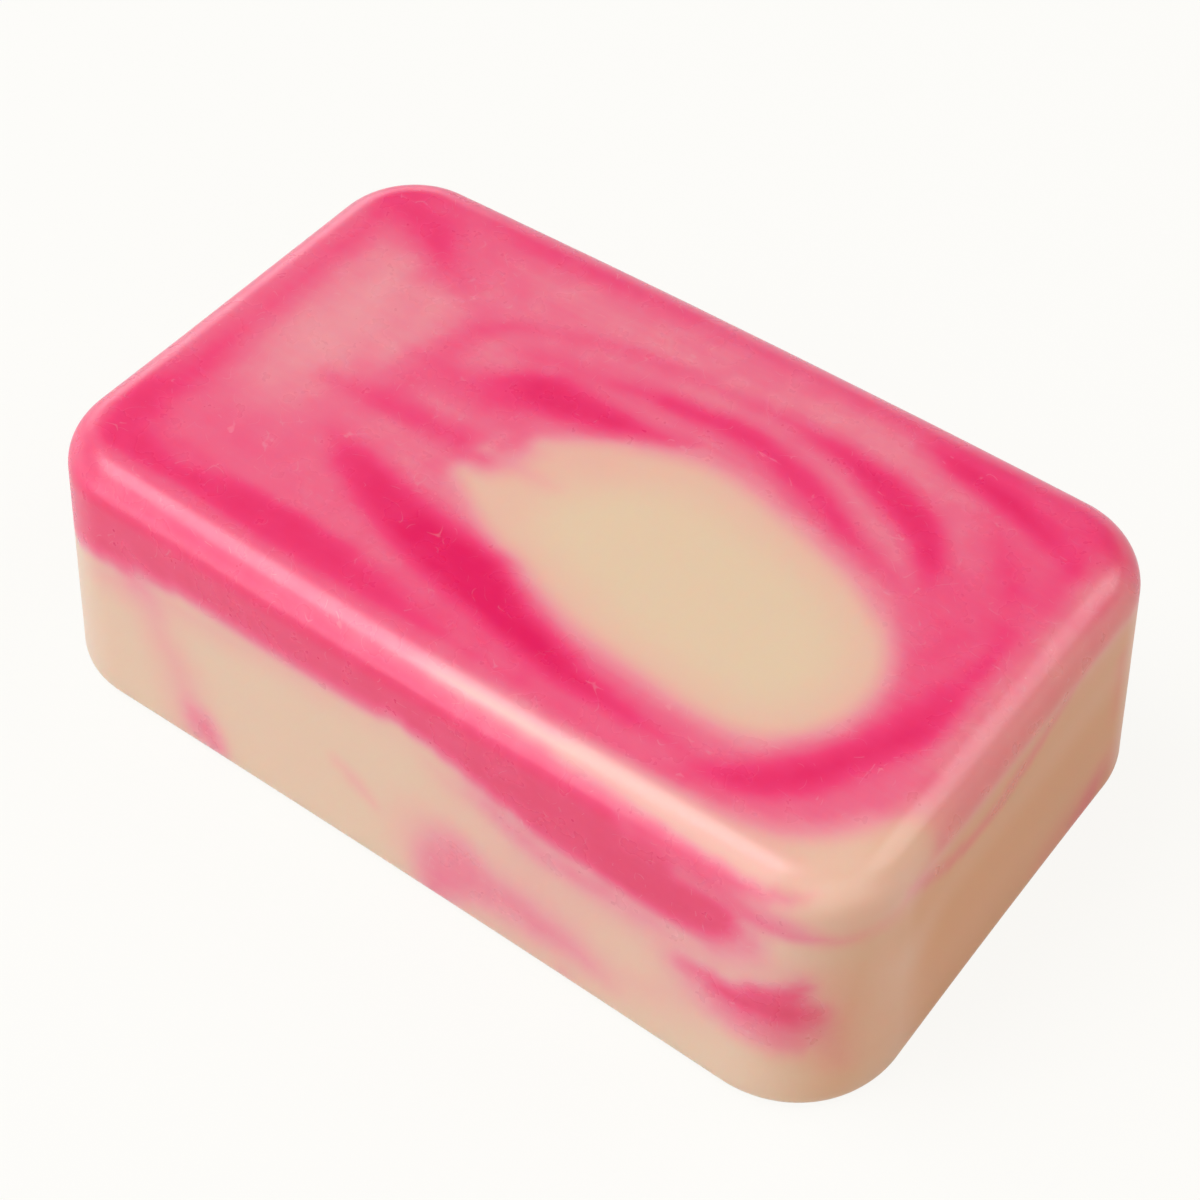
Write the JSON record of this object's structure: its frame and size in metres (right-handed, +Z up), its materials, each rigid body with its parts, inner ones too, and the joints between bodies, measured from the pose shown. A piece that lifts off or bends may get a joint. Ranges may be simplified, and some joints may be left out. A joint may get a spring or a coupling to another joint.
{
  "type": "bar of soap",
  "caption": "Marbled hand-made bar of soap: a rounded slab with leaning sides, round corners and a rolled upper edge, for washing hands.",
  "frame": {"origin": "middle of the foot, the flat face that the bar rests on", "axes": "+X along the bar's length, +Y across its width, +Z up from the foot to the top face"},
  "size_m": [0.0878, 0.0552, 0.026],
  "materials": {
    "soap": "satin, slightly translucent soap, deep pink marbled in cream"
  },
  "bodies": {
    "root": {"soap_bar": "soap"}
  },
  "joints": []
}
